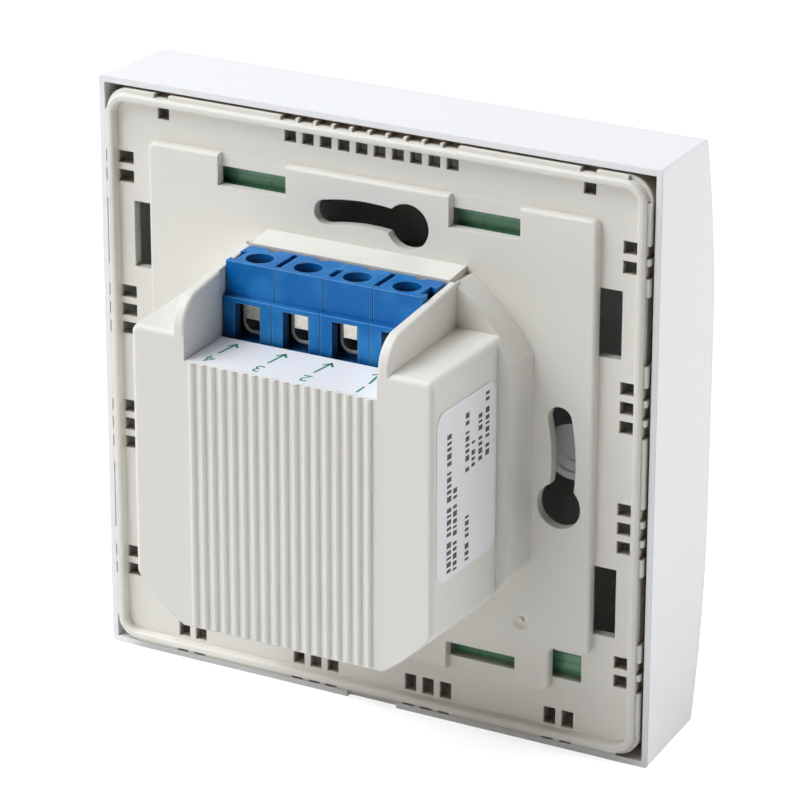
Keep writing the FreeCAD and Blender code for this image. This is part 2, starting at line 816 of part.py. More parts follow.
def terminal_label():
    """The printed label on the platform between the cheeks."""
    share = (platform_start - collar_bar_depth) / (housing_depth - collar_bar_depth)
    front = cheek_inner + (cheek_inner_rear - cheek_inner) * share - label_margin
    rear = cheek_inner_rear - label_margin
    points = [(-front, platform_start + label_margin), (front, platform_start + label_margin),
              (rear, housing_depth - label_margin), (-rear, housing_depth - label_margin)]
    return plan_prism(points, platform_top, platform_top + label_thickness)


def rating_label():
    """The label on the housing's -X side, in the plane of its drafted face."""
    face_front = box_half_width - box_draft * (rating_front - box_drafted_from)
    length = rating_rear - rating_front
    plate = box(-face_front - label_thickness, -face_front, 0, length, rating_low, rating_high)
    plate = round_edges(plate, rating_corner, lambda edge: runs_along(edge, ALONG_X))
    plate.translate(Vector(face_front, 0, 0))
    plate.rotate(Vector(0, 0, 0), ALONG_Z, -math.degrees(math.atan(box_draft)))
    plate.translate(Vector(-face_front, rating_front, 0))
    return plate


def control_board():
    """The green board behind the floor, notched where the wall screws' heads go."""
    half = control_board_half
    body = box(-half, half, control_front, floor_front, -half, half)
    notch = box(-board_notch_half, board_notch_half, control_front - 1, 1, board_notch_inner, half + 1)
    body = cut(body, *[turned(notch, quarter * 90) for quarter in range(4)])
    holes = [rod_y(control_screw_radius + screw_clearance, x, z, control_front - 1, 0)
             for x, z in screw_places(control_screw_at, control_screw_at)]
    return cut(body, *holes)


def cross_recess(x, z, y, radius):
    """A cross-shaped driver recess in a head that faces forwards."""
    reach = radius * 0.6
    half = cross_width / 2
    wide = box(x - reach, x + reach, y, y + cross_depth, z - half, z + half)
    return wide.fuse(box(x - half, x + half, y, y + cross_depth, z - reach, z + reach))


def forward_screw(x, z, seat, head_radius, head_height, radius, tip):
    """A screw driven from the front, with a domed cross head."""
    head = rod_y(head_radius, x, z, seat - head_height, seat)
    head = round_edges(head, head_height * 0.5, lambda edge: edge.BoundBox.YMax < seat - 0.1)
    shank = rod_y(radius, x, z, seat - 0.2, tip)
    return cut(fuse(head, shank), cross_recess(x, z, seat - head_height, head_radius))


def control_board_screws():
    """Four screws through the control board into the chassis's bosses."""
    tip = floor_front + control_screw_bite
    return [forward_screw(x, z, control_front, control_head_radius, control_head_height,
                          control_screw_radius, tip)
            for x, z in screw_places(control_screw_at, control_screw_at)]


def housing_screws():
    """Four long screws that clamp chassis, power board and housing together."""
    tip = housing_head_seat + housing_screw_length
    return [forward_screw(x, z, housing_head_seat, housing_head_radius, housing_head_height,
                          housing_screw_radius, tip)
            for x, z in screw_places(housing_screw_x, housing_screw_z)]


def power_board():
    """The round mains board in the collar, clamped between chassis pillars and housing bosses."""
    disc = rod_y(power_board_radius, 0, 0, power_board_front, power_board_rear)
    flats = box(-power_board_half_width, power_board_half_width, 0, power_board_rear,
                -power_board_half_height, power_board_half_height)
    body = disc.common(flats)
    holes = [rod_y(housing_screw_radius + screw_clearance, x, z, 0, power_board_rear + 1)
             for x, z in screw_places(housing_screw_x, housing_screw_z)]
    holes += [rod_y(bar_pin_radius + bar_pin_hole_gap, x, bar_pin_z(), 0, power_board_rear + 1)
              for x in pole_centres]
    return cut(body, *holes)


def bar_pin_z():
    """The height at which each contact bar's pin leaves for the power board."""
    return bar_low + bar_thickness / 2


def pin_row(count, z, y0, y1):
    """Square pins in a row across the detector."""
    pins = []
    for index in range(count):
        x = (index - (count - 1) / 2) * pin_pitch
        pins.append(box(x - pin_half, x + pin_half, y0, y1, z - pin_half, z + pin_half))
    return pins


def link_pins():
    """The pins between the control board and the power board, in their strip."""
    half = link_pin_count * pin_pitch / 2
    strip = box(-half, half, floor_front, floor_front + 2 * pin_strip_half, -pin_strip_half, pin_strip_half)
    return strip.fuse(pin_row(link_pin_count, 0, floor_front + 1, power_board_front)).removeSplitter()


def module_pins():
    """The pins between the control board and the antenna board, in their strip."""
    half = module_pin_count * pin_pitch / 2
    strip = box(-half, half, control_front - 2 * pin_strip_half, control_front,
                module_pin_z - pin_strip_half, module_pin_z + pin_strip_half)
    pins = pin_row(module_pin_count, module_pin_z, antenna_rear, control_front - 1)
    return strip.fuse(pins).removeSplitter()


def module_spacers():
    """Four round spacers that carry the antenna board."""
    return [rod_y(spacer_radius, x, z + antenna_centre_z, antenna_rear, control_front)
            for x, z in screw_places(spacer_offset, spacer_offset)]


def antenna_board():
    """The square board of the microwave transceiver."""
    front = antenna_rear - antenna_thickness
    return box(-antenna_half, antenna_half, front, antenna_rear,
               antenna_centre_z - antenna_half, antenna_centre_z + antenna_half)


def antenna_patches():
    """Four thin copper patches on the front of the antenna board."""
    front = antenna_rear - antenna_thickness
    patches = []
    for x, z in screw_places(patch_offset, patch_offset):
        z_mid = z + antenna_centre_z
        patches.append(box(x - patch_half, x + patch_half, front - patch_thickness, front,
                           z_mid - patch_half, z_mid + patch_half))
    return patches


def oscillator_can():
    """The five-sided shield can on the back of the antenna board."""
    rear = antenna_rear + can_depth
    low = antenna_centre_z - can_half_height
    high = antenna_centre_z + can_half_height
    body = box(-can_half_width, can_half_width, antenna_rear, rear, low, high)
    body = round_edges(body, part_rounding * 2, lambda edge: runs_along(edge, ALONG_Y))
    hollow = box(-can_half_width + can_wall, can_half_width - can_wall, antenna_rear, rear - can_wall,
                 low + can_wall, high - can_wall)
    return cut(body, hollow)


def light_guide():
    """The clear rod from the light sensor to the window, on a hollow base."""
    tip = front_at(window_z, cover_front_wall) + window_flange_thickness + guide_gap
    base = rod_y(guide_base_radius, 0, window_z, control_front - guide_base_height, control_front)
    stem = rod_y(guide_radius, 0, window_z, tip, control_front)
    bore_front = control_front - sensor_height - guide_bore_over_sensor
    bore = rod_y(guide_bore_radius, 0, window_z, bore_front, control_front)
    return cut(fuse(base, stem), bore)


def sensor_package(offset):
    """A small package on the control board under the light guide."""
    return box(offset - sensor_half_width, offset + sensor_half_width,
               control_front - sensor_height, control_front,
               window_z - sensor_half_height, window_z + sensor_half_height)


def microcontroller():
    """The square controller in the middle of the control board."""
    half = controller_half
    return box(-half, half, control_front - controller_height, control_front,
               controller_z - half, controller_z + half)


def small_components():
    """Two columns of small chip parts at the sides of the control board."""
    chips = []
    for side in SIDES:
        for index in range(component_count):
            z = (index - (component_count - 1) / 2) * component_spacing
            chips.append(box(side * component_x - component_width / 2,
                             side * component_x + component_width / 2,
                             control_front - component_height, control_front,
                             z - component_depth / 2, z + component_depth / 2))
    return chips


def block_on_power_board(centre, size):
    """A rounded case standing on the power board."""
    x, z = centre
    width, height, depth = size
    body = box(x - width / 2, x + width / 2, power_board_rear, power_board_rear + depth,
               z - height / 2, z + height / 2)
    return round_edges(body, part_rounding, lambda edge: edge.BoundBox.YMax > power_board_rear + 0.1)


def smoothing_capacitor():
    """The round electrolytic capacitor."""
    x, z = smoothing_centre
    rear = power_board_rear + smoothing_height
    body = rod_y(smoothing_radius, x, z, power_board_rear, rear)
    return round_edges(body, part_rounding, lambda edge: edge.BoundBox.YMin > rear - 0.1)


def inductor():
    """The drum inductor with its waist."""
    x, z = inductor_centre
    body = rod_y(inductor_radius, x, z, power_board_rear, power_board_rear + inductor_height)
    low = power_board_rear + inductor_flange
    high = power_board_rear + inductor_height - inductor_flange
    ring = rod_y(inductor_radius + 1, x, z, low, high)
    ring = cut(ring, rod_y(inductor_radius - inductor_waist, x, z, low - 1, high + 1))
    return cut(body, ring)


def varistor():
    """The disc varistor standing on its edge, on two leads."""
    x, z = varistor_centre
    low = power_board_rear + varistor_lift + varistor_radius
    disc = rod(varistor_radius, x, low, z - varistor_thickness / 2, ALONG_Z, varistor_thickness)
    leads = [rod_y(lead_radius, x + side * varistor_radius / 2, z, power_board_rear, low)
             for side in SIDES]
    return fuse(disc, *leads)


def fuse_resistor():
    """The fusible resistor lying on the board, with its bent leads."""
    x, z = fuse_centre
    level = power_board_rear + fuse_lift + fuse_radius
    body = rod(fuse_radius, x - fuse_length / 2, level, z, ALONG_X, fuse_length)
    reach = fuse_length / 2 + fuse_lead_run
    wire = rod(wire_radius, x - reach, level, z, ALONG_X, 2 * reach)
    leads = [rod_y(lead_radius, x + side * reach, z, power_board_rear, level + lead_radius)
             for side in SIDES]
    return fuse(body, wire, *leads)


def dovetail(root_x, length, clearance):
    """A dovetail up the side of a terminal block, widening from its root towards -X."""
    neck = tongue_neck_half + clearance
    end = neck + (tongue_end_half - tongue_neck_half) * length / tongue_length
    points = [(root_x, tongue_centre_y - neck), (root_x, tongue_centre_y + neck),
              (root_x - length, tongue_centre_y + end), (root_x - length, tongue_centre_y - end)]
    return plan_prism(points, pole_slot_low, terminal_top + 1)


def terminal_block(side):
    """A two-way terminal block with its screw holes, chambers and conductor entries."""
    left, right = sorted((0.0, side * 2 * pole_pitch))
    lower = box(left, right, terminal_back, terminal_front, terminal_bottom, terminal_ledge)
    upper = box(left, right, terminal_back, terminal_upper_front, terminal_bottom, terminal_top)
    foot = box(left + 1, right - 1, power_board_rear, terminal_back + 0.5, terminal_bottom,
               terminal_foot_top)
    body = fuse(lower, upper, foot)
    tools = []
    for pole in pole_centres:
        if not left < pole < right:
            continue
        tools.append(rod(terminal_hole_radius, pole, terminal_screw_y, terminal_head_seat, ALONG_Z,
                         terminal_top))
        tools.append(rod(thread_radius + screw_clearance, pole, terminal_screw_y, terminal_shelf - 1,
                         ALONG_Z, terminal_head_above_shelf + 2))
        tools.append(box(pole - chamber_half_width, pole + chamber_half_width, chamber_back,
                         chamber_front, chamber_low, terminal_shelf))
        tools.append(box(pole - entry_half_width, pole + entry_half_width, chamber_front - 1,
                         terminal_front + 1, entry_low, entry_high))
        tools.append(rod(back_notch_radius, pole, terminal_back, terminal_top - back_notch_drop, ALONG_Z,
                         back_notch_drop + 1))
        tools.append(box(pole - bar_half_width, pole + bar_half_width, power_board_rear - 1,
                         chamber_back + 1, bar_low, bar_low + bar_thickness))
    middle = side * pole_pitch
    tools.append(box(middle - pole_slot_half, middle + pole_slot_half, terminal_back + pole_slot_wall,
                     pole_slot_front, terminal_foot_top + 0.5, terminal_top + 1))
    tools.append(dovetail(right, groove_depth, groove_clearance))
    if side < 0:
        end_groove = dovetail(-left, groove_depth, groove_clearance)
        tools.append(mirror_x(end_groove))
    for seam in (0.0, middle):
        tools.append(box(seam - seam_half, seam + seam_half, terminal_upper_front - seam_depth,
                         terminal_front + 1, terminal_ledge, terminal_top + 1))
        tools.append(box(seam - seam_half, seam + seam_half, terminal_front - seam_depth,
                         terminal_front + 1, terminal_bottom - 1, terminal_ledge + 1))
    body = cut(body, *tools)
    if side > 0:
        tongue = dovetail(left, tongue_length, 0.0)
        trimmed = box(-beyond, beyond, -beyond, beyond, pole_slot_low + 0.2, terminal_top - tongue_drop)
        body = body.fuse(tongue.common(trimmed)).removeSplitter()
    return body


def terminal_screw(pole):
    """A slotted clamp screw that turns in place in its block."""
    head = rod(terminal_head_radius, pole, terminal_screw_y, terminal_head_seat, ALONG_Z,
               terminal_head_top - terminal_head_seat)
    head = round_edges(head, terminal_head_rounding,
                       lambda edge: edge.BoundBox.ZMin > terminal_head_top - 0.1)
    tip = bar_low + bar_thickness + cage_gap
    shank = rod(thread_radius, pole, terminal_screw_y, tip, ALONG_Z, terminal_head_seat - tip + 0.2)
    slot = box(pole - beyond, pole + beyond, terminal_screw_y - screw_slot_width / 2,
               terminal_screw_y + screw_slot_width / 2, terminal_head_top - screw_slot_depth,
               terminal_head_top + 1)
    return cut(fuse(head, shank), slot)


def clamp_cage(pole):
    """The cage that rises on the screw and pulls the conductor against the contact bar."""
    body = box(pole - cage_half_width, pole + cage_half_width, cage_back, cage_front, cage_low, cage_top)
    inner = cage_half_width - cage_wall
    window = box(pole - inner, pole + inner, cage_back - 1, cage_front + 1, cage_low + cage_wall,
                 cage_top - cage_roof)

    def at_bottom(edge):
        return runs_along(edge, ALONG_Y) and edge.BoundBox.ZMax < cage_top - cage_height / 2

    body = round_edges(body, cage_corner, at_bottom)
    window = round_edges(window, cage_corner - cage_wall, at_bottom)
    thread = rod(thread_radius + thread_clearance, pole, terminal_screw_y, cage_top - cage_roof - 1,
                 ALONG_Z, cage_roof + 2)
    return cut(body, window, thread)


def contact_bar(pole):
    """A contact bar with its upturned tab in the entry and its pin through the power board."""
    tab_rear = chamber_front
    bar = box(pole - bar_half_width, pole + bar_half_width, terminal_back, tab_rear, bar_low,
              bar_low + bar_thickness)
    tab = box(pole - tab_half_width, pole + tab_half_width, tab_rear - tab_thickness, tab_rear,
              bar_low, tab_top)
    pin = rod_y(bar_pin_radius, pole, bar_pin_z(), power_board_front - bar_pin_tail, terminal_back + 1)
    slim = box(pole - bar_half_width, pole + bar_half_width, power_board_front - bar_pin_tail,
               terminal_back + 1, bar_low, bar_low + bar_thickness)
    return fuse(bar, tab, pin.common(slim))


def contact_bars():
    """The fixed contact bars of the four poles."""
    return [contact_bar(pole) for pole in pole_centres]


def save(name, shape):
    """Write one node, whose shape is a solid or a list of separate solids."""
    if isinstance(shape, list):
        shape = Part.makeCompound(shape)
    solids = shape.Solids
    if len(solids) == 1:
        shape = solids[0]
    print(f"{name}: {len(solids)} solid(s), {shape.Volume:.1f} mm3, valid {shape.isValid()}")
    shape.exportStep(f"parts/{name}.step")


def main():
    os.makedirs("parts", exist_ok=True)
    save("fascia_cover", fascia_cover())
    save("window_lens", window_lens())
    save("rear_chassis", rear_chassis())
    save("rear_housing", rear_housing())
    save("terminal_label", terminal_label())
    save("rating_label", rating_label())
    save("control_board", control_board())
    save("control_board_screws", control_board_screws())
    save("housing_screws", housing_screws())
    save("power_board", power_board())
    save("link_pins", link_pins())
    save("module_pins", module_pins())
    save("module_spacers", module_spacers())
    save("antenna_board", antenna_board())
    save("antenna_patches", antenna_patches())
    save("oscillator_can", oscillator_can())
    save("light_guide", light_guide())
    save("light_sensor", sensor_package(-sensor_offset))
    save("status_led", sensor_package(sensor_offset))
    save("microcontroller", microcontroller())
    save("small_components", small_components())
    save("relay", block_on_power_board(relay_centre, relay_size))
    save("film_capacitor", block_on_power_board(film_centre, film_size))
    save("smoothing_capacitor", smoothing_capacitor())
    save("inductor", inductor())
    save("varistor", varistor())
    save("fuse_resistor", fuse_resistor())
    save("terminal_block_left", terminal_block(1))
    save("terminal_block_right", terminal_block(-1))
    for index, pole in enumerate(pole_centres):
        save(f"terminal_screw_{index + 1}", terminal_screw(pole))
        save(f"clamp_cage_{index + 1}", clamp_cage(pole))
    save("contact_bars", contact_bars())


main()
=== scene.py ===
import math
import bmesh
import bpy
from mathutils import Matrix, Vector


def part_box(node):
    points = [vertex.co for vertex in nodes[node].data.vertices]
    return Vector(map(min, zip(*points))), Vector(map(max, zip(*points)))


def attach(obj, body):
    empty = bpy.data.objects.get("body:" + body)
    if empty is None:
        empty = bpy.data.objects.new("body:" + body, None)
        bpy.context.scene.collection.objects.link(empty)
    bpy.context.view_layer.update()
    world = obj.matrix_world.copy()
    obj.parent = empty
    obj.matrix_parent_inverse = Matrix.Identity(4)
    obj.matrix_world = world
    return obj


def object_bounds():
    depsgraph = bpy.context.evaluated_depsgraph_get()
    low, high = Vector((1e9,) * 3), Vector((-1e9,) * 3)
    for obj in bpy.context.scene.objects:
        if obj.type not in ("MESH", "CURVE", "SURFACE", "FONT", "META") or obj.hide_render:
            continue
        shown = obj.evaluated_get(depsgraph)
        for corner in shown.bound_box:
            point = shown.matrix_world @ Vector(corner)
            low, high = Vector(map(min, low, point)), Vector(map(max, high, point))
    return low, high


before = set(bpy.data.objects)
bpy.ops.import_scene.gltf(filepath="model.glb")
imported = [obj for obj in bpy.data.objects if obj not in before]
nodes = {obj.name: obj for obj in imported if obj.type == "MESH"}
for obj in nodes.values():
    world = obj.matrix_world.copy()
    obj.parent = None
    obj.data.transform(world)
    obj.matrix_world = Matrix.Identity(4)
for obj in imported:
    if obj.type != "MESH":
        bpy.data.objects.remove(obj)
cad_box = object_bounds()
mm = 0.001

# Samples of the two shader nodes that look around a point
edge_samples = 6
sky_samples = 8

# Plastic: lengths in millimetres, open sky as a share
plastic_ior = 1.53
colour_drift = 24.0
shine_patch = 5.0
shine_spread = 0.05
# Painted shade in slots and corners: how far it looks for walls, and the share of open sky where it is
# full
painted_shade_reach = 3.0
painted_shade_full_sky = 0.15
# Painted shade in the vents: its brown, the shares of open sky where it starts and is full, and the depths
# along Y over which it comes in
vent_painted_shade = "#8E8270"
vent_shade_sky = (0.85, 0.45)
vent_shade_depths = (-1.65, -1.95)

# Terminal block blue: lengths in millimetres
haze_tones = ("#006AB6", "#217EC4")
haze_size = 4.5
scuff_tone = "#7DB4E8"
scuff_width = 0.18
scuff_stretch = 0.12
# Painted shade in the holes: its navy, the share of open sky where it starts, its reach, and the drops
# below the top over which it comes in
hole_painted_shade = "#06203F"
hole_shade_sky = 0.62
hole_shade_reach = 5.0
hole_shade_drop = (0.2, 1.2)
# Painted highlight along open edges: its pale blue, the rounding radius it shares with the edges' normals,
# and its reach for open sky
painted_edge_highlight = "#7AB8EE"
edge_round_and_highlight_radius = 0.22
highlight_open_reach = 0.8

# Metal and boards: lengths in millimetres
drawn_line = 0.25
drawn_depth = 0.01
drawn_shine_spread = 0.08
metal_edge = 0.08
board_ior = 1.55
track_gap = 0.2
track_length = 4.3
track_height = 0.035
weave_size = 0.5
weave_depth = 0.01

# Acrylic
acrylic_ior = 1.49


def linear(code):
    """An sRGB hex colour as Blender's linear colour."""
    values = [int(code[place:place + 2], 16) / 255 for place in (1, 3, 5)]
    return tuple(v / 12.92 if v <= 0.04045 else ((v + 0.055) / 1.055) ** 2.4 for v in values) + (1.0,)


def add(tree, kind, inputs=None, **settings):
    """One node with its settings; each input gets a value or another node's output."""
    node = tree.nodes.new(kind)
    for name, value in settings.items():
        setattr(node, name, value)
    for name, value in (inputs or {}).items():
        if isinstance(value, bpy.types.NodeSocket):
            tree.links.new(value, node.inputs[name])
        else:
            node.inputs[name].default_value = value
    return node


def start_material(name):
    """A new material, its node tree, its shader and the coordinates of the piece."""
    material = bpy.data.materials.new(name)
    material.use_nodes = True
    tree = material.node_tree
    tree.nodes.clear()
    shader = add(tree, "ShaderNodeBsdfPrincipled")
    add(tree, "ShaderNodeOutputMaterial", {"Surface": shader.outputs["BSDF"]})
    place = add(tree, "ShaderNodeTexCoord").outputs["Object"]
    return material, tree, shader, place


def mottled(tree, place, first, second, size):
    """Two hex colours that drift into each other over a size in millimetres."""
    noise = add(tree, "ShaderNodeTexNoise", {"Vector": place, "Scale": 1 / (size * mm), "Detail": 3.0})
    return add(tree, "ShaderNodeMix", {"Factor": noise.outputs["Fac"], "A": linear(first),
                                       "B": linear(second)}, data_type="RGBA").outputs["Result"]


def grain(tree, place, edge, size, depth):
    """The normal of a grained surface with broken edges: radius, grain and depth in millimetres."""
    broken = add(tree, "ShaderNodeBevel", {"Radius": edge * mm}, samples=edge_samples)
    noise = add(tree, "ShaderNodeTexNoise", {"Vector": place, "Scale": 1 / (size * mm), "Detail": 2.0})
    return add(tree, "ShaderNodeBump", {"Height": noise.outputs["Fac"], "Distance": depth * mm,
                                        "Strength": 1.0, "Normal": broken.outputs["Normal"]})


def deepened(tree, tone, painted_shade_colour, start, end=painted_shade_full_sky, reach=painted_shade_reach, within=None):
    """A tone that turns to a colour of painted shade in slots and corners, from a share of open sky down.
    """
    hollow = add(tree, "ShaderNodeAmbientOcclusion", {"Distance": reach * mm}, samples=sky_samples)
    share = add(tree, "ShaderNodeMapRange", {"Value": hollow.outputs["AO"], "From Min": start,
                                             "From Max": end}).outputs["Result"]
    if within is not None:
        share = add(tree, "ShaderNodeMath", {0: share, 1: within}, operation="MULTIPLY").outputs["Value"]
    return add(tree, "ShaderNodeMix", {"Factor": share, "A": tone, "B": linear(painted_shade_colour)},
               data_type="RGBA").outputs["Result"]


def beyond(tree, place, axis, start, end):
    """0 before a place along an axis of the piece and 1 from another on, in millimetres."""
    split = add(tree, "ShaderNodeSeparateXYZ", {"Vector": place})
    return add(tree, "ShaderNodeMapRange", {"Value": split.outputs[axis], "From Min": start * mm,
                                            "From Max": end * mm}).outputs["Result"]


def moulded(name, colour, shade, roughness, grain_size, grain_depth, edge=0.12, painted_shade_colour=None,
            painted_shade_start=0.5, vent_shade_between=None, gloss=0.5):
    """Injection moulded plastic: an even colour, a spark-eroded grain, slightly broken edges, and painted
    shade in corners and vents where a colour for it is given.
    """
    material, tree, shader, place = start_material(name)
    tone = mottled(tree, place, colour, shade, colour_drift)
    # Painted shade: the tone darkens towards the given colour in corners and slots, and towards a brown in
    # the vents
    if painted_shade_colour:
        tone = deepened(tree, tone, painted_shade_colour, painted_shade_start)
    if vent_shade_between:
        tone = deepened(tree, tone, vent_painted_shade, *vent_shade_sky, within=beyond(tree, place, "Y", *vent_shade_between))
    tree.links.new(tone, shader.inputs["Base Color"])
    wear = add(tree, "ShaderNodeTexNoise", {"Vector": place, "Scale": 1 / (shine_patch * mm),
                                            "Detail": 2.0})
    spread = add(tree, "ShaderNodeMapRange", {"Value": wear.outputs["Fac"],
                                              "To Min": roughness - shine_spread,
                                              "To Max": roughness + shine_spread})
    tree.links.new(spread.outputs["Result"], shader.inputs["Roughness"])
    surface = grain(tree, place, edge, grain_size, grain_depth)
    tree.links.new(surface.outputs["Normal"], shader.inputs["Normal"])
    shader.inputs["IOR"].default_value = plastic_ior
    shader.inputs["Specular IOR Level"].default_value = gloss
    return material


def blue_polyamide(block_top):
    """Terminal block blue: patches of haze, fine scuffs along the row, painted navy shade in the holes
    below the top, and painted pale highlights along open edges.
    """
    material, tree, shader, place = start_material("moulded_polyamide_blue")
    haze = add(tree, "ShaderNodeTexNoise", {"Vector": place, "Scale": 1 / (haze_size * mm), "Detail": 1.0})
    patch = add(tree, "ShaderNodeMapRange", {"Value": haze.outputs["Fac"], "From Min": 0.42,
                                             "From Max": 0.62})
    tone = add(tree, "ShaderNodeMix", {"Factor": patch.outputs["Result"], "A": linear(haze_tones[0]),
                                       "B": linear(haze_tones[1])}, data_type="RGBA").outputs["Result"]
    stretch = add(tree, "ShaderNodeMapping", {"Vector": place, "Scale": (scuff_stretch, 1.0, 1.0)})
    scuff = add(tree, "ShaderNodeTexNoise", {"Vector": stretch.outputs["Vector"],
                                             "Scale": 1 / (scuff_width * mm), "Detail": 2.0})
    line = add(tree, "ShaderNodeMapRange", {"Value": scuff.outputs["Fac"], "From Min": 0.66,
                                            "From Max": 0.8, "To Max": 0.22})
    tone = add(tree, "ShaderNodeMix", {"Factor": line.outputs["Result"], "A": tone,
                                       "B": linear(scuff_tone)}, data_type="RGBA").outputs["Result"]
    # Painted shade: navy in the holes and slots below the block's top
    hole_shade_region = beyond(tree, place, "Z", block_top - hole_shade_drop[0], block_top - hole_shade_drop[1])
    tone = deepened(tree, tone, hole_painted_shade, hole_shade_sky, reach=hole_shade_reach, within=hole_shade_region)
    # Painted highlight: pale blue where the rounded normal turns from the flat one on open edges
    broken = add(tree, "ShaderNodeBevel", {"Radius": edge_round_and_highlight_radius * mm}, samples=edge_samples)
    flat = add(tree, "ShaderNodeNewGeometry").outputs["True Normal"]
    turned = add(tree, "ShaderNodeVectorMath", {0: broken.outputs["Normal"], 1: flat},
                 operation="DOT_PRODUCT")
    highlight_at_edge = add(tree, "ShaderNodeMapRange", {"Value": turned.outputs["Value"], "From Min": 0.99,
                                           "From Max": 0.88, "To Max": 0.8})
    sky = add(tree, "ShaderNodeAmbientOcclusion", {"Distance": highlight_open_reach * mm}, samples=sky_samples)
    open_edge = add(tree, "ShaderNodeMapRange", {"Value": sky.outputs["AO"], "From Min": 0.7,
                                                 "From Max": 0.95})
    share = add(tree, "ShaderNodeMath", {0: highlight_at_edge.outputs["Result"], 1: open_edge.outputs["Result"]},
                operation="MULTIPLY")
    tone = add(tree, "ShaderNodeMix", {"Factor": share.outputs["Value"], "A": tone,
                                       "B": linear(painted_edge_highlight)}, data_type="RGBA").outputs["Result"]
    tree.links.new(tone, shader.inputs["Base Color"])
    surface = grain(tree, place, edge=edge_round_and_highlight_radius, size=0.3, depth=0.003)
    tree.links.new(surface.outputs["Normal"], shader.inputs["Normal"])
    shader.inputs["Roughness"].default_value = 0.38
    shader.inputs["IOR"].default_value = plastic_ior
    shader.inputs["Specular IOR Level"].default_value = 0.2
    return material


def plated(name, colour, shade, roughness, streak):
    """Plated steel or brass, with faint drawing lines along one axis."""
    material, tree, shader, place = start_material(name)
    stretch = add(tree, "ShaderNodeMapping", {"Vector": place, "Scale": streak})
    lines = add(tree, "ShaderNodeTexNoise", {"Vector": stretch.outputs["Vector"],
                                             "Scale": 1 / (drawn_line * mm), "Detail": 4.0})
    tone = add(tree, "ShaderNodeMix", {"Factor": lines.outputs["Fac"], "A": linear(colour),
                                       "B": linear(shade)}, data_type="RGBA")
    tree.links.new(tone.outputs["Result"], shader.inputs["Base Color"])
    spread = add(tree, "ShaderNodeMapRange", {"Value": lines.outputs["Fac"],
                                              "To Min": roughness - drawn_shine_spread,
                                              "To Max": roughness + drawn_shine_spread})
    tree.links.new(spread.outputs["Result"], shader.inputs["Roughness"])
    broken = add(tree, "ShaderNodeBevel", {"Radius": metal_edge * mm}, samples=edge_samples)
    bump = add(tree, "ShaderNodeBump", {"Height": lines.outputs["Fac"], "Distance": drawn_depth * mm,
                                        "Strength": 0.6, "Normal": broken.outputs["Normal"]})
    tree.links.new(bump.outputs["Normal"], shader.inputs["Normal"])
    shader.inputs["Metallic"].default_value = 1.0
    return material


def circuit(name, mask, copper_under, pitch):
    """Glass-epoxy board under green solder mask: tracks stand slightly proud and paler."""
    material, tree, shader, place = start_material(name)
    flat = add(tree, "ShaderNodeMapping", {"Vector": place, "Rotation": (math.radians(90), 0, 0)})
    tracks = add(tree, "ShaderNodeTexBrick", {"Vector": flat.outputs["Vector"], "Scale": 1.0,
                                              "Color1": (1, 1, 1, 1), "Color2": (0.6, 0.6, 0.6, 1),
                                              "Mortar": (0, 0, 0, 1), "Mortar Size": track_gap * mm,
                                              "Mortar Smooth": 0.1,
                                              "Brick Width": pitch * track_length * mm,
                                              "Row Height": pitch * mm}, offset=0.37, squash=0.8)
    tone = add(tree, "ShaderNodeMix", {"Factor": tracks.outputs["Color"], "A": linear(mask),
                                       "B": linear(copper_under)}, data_type="RGBA")
    tree.links.new(tone.outputs["Result"], shader.inputs["Base Color"])
    weave = add(tree, "ShaderNodeTexNoise", {"Vector": place, "Scale": 1 / (weave_size * mm),
                                             "Detail": 1.0})
    under = add(tree, "ShaderNodeBump", {"Height": weave.outputs["Fac"], "Distance": weave_depth * mm,
                                         "Strength": 0.5})
    bump = add(tree, "ShaderNodeBump", {"Height": tracks.outputs["Color"], "Distance": track_height * mm,
                                        "Strength": 0.7, "Normal": under.outputs["Normal"]})
    tree.links.new(bump.outputs["Normal"], shader.inputs["Normal"])
    shader.inputs["Roughness"].default_value = 0.34
    shader.inputs["IOR"].default_value = board_ior
    return material


def clear(name, tint, roughness, transmission):
    """Polished acrylic with a faint tint and slight flow waviness."""
    material, tree, shader, place = start_material(name)
    tree.links.new(mottled(tree, place, tint, "#FFFFFF", 3.0), shader.inputs["Base Color"])
    surface = grain(tree, place, edge=0.1, size=2.0, depth=0.01)
    tree.links.new(surface.outputs["Normal"], shader.inputs["Normal"])
    shader.inputs["Roughness"].default_value = roughness
    shader.inputs["Transmission Weight"].default_value = transmission
    shader.inputs["IOR"].default_value = acrylic_ior
    return material


# Finishes
# ASA from a polished tool: bright clean white with a soft satin gloss
cover_white = moulded("moulded_ASA_satin_white", "#F2F3F4", "#EFF0F2", roughness=0.32, grain_size=0.30,
                      grain_depth=0.0012, edge=0.18, gloss=0.3)
# PC-ABS from a fine spark-eroded tool: warm off-white and nearly matt, with painted warm shade in its
# corners and slots and painted brown shade in its vents
chassis_white = moulded("moulded_PC-ABS_warm_white", "#E7E5DD", "#E3E1D9", roughness=0.52, grain_size=0.22,
                        grain_depth=0.004, edge=0.16, painted_shade_colour="#8A7E6C", vent_shade_between=vent_shade_depths)
# the same resin from another tool: a touch greyer, with softer edges and a lighter painted shade in its
# corners and slots
housing_white = moulded("moulded_PC-ABS_housing_white", "#E7E5DE", "#E3E1DA", roughness=0.5,
                        grain_size=0.22, grain_depth=0.004, edge=0.22, painted_shade_colour="#9A8F7B",
                        painted_shade_start=0.32)
# polyamide 66: strong semi-gloss blue with haze and scuffs, painted dark shade in its holes and painted
# highlights along its edges
terminal_blue = blue_polyamide(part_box("terminal_block_left")[1].z / mm)
# smooth coated paper: cool white and matt, with fine fibres
label_paper = moulded("coated_label_paper", "#F3F4F6", "#F0F1F4", roughness=0.45, grain_size=0.12,
                      grain_depth=0.002, edge=0.03)
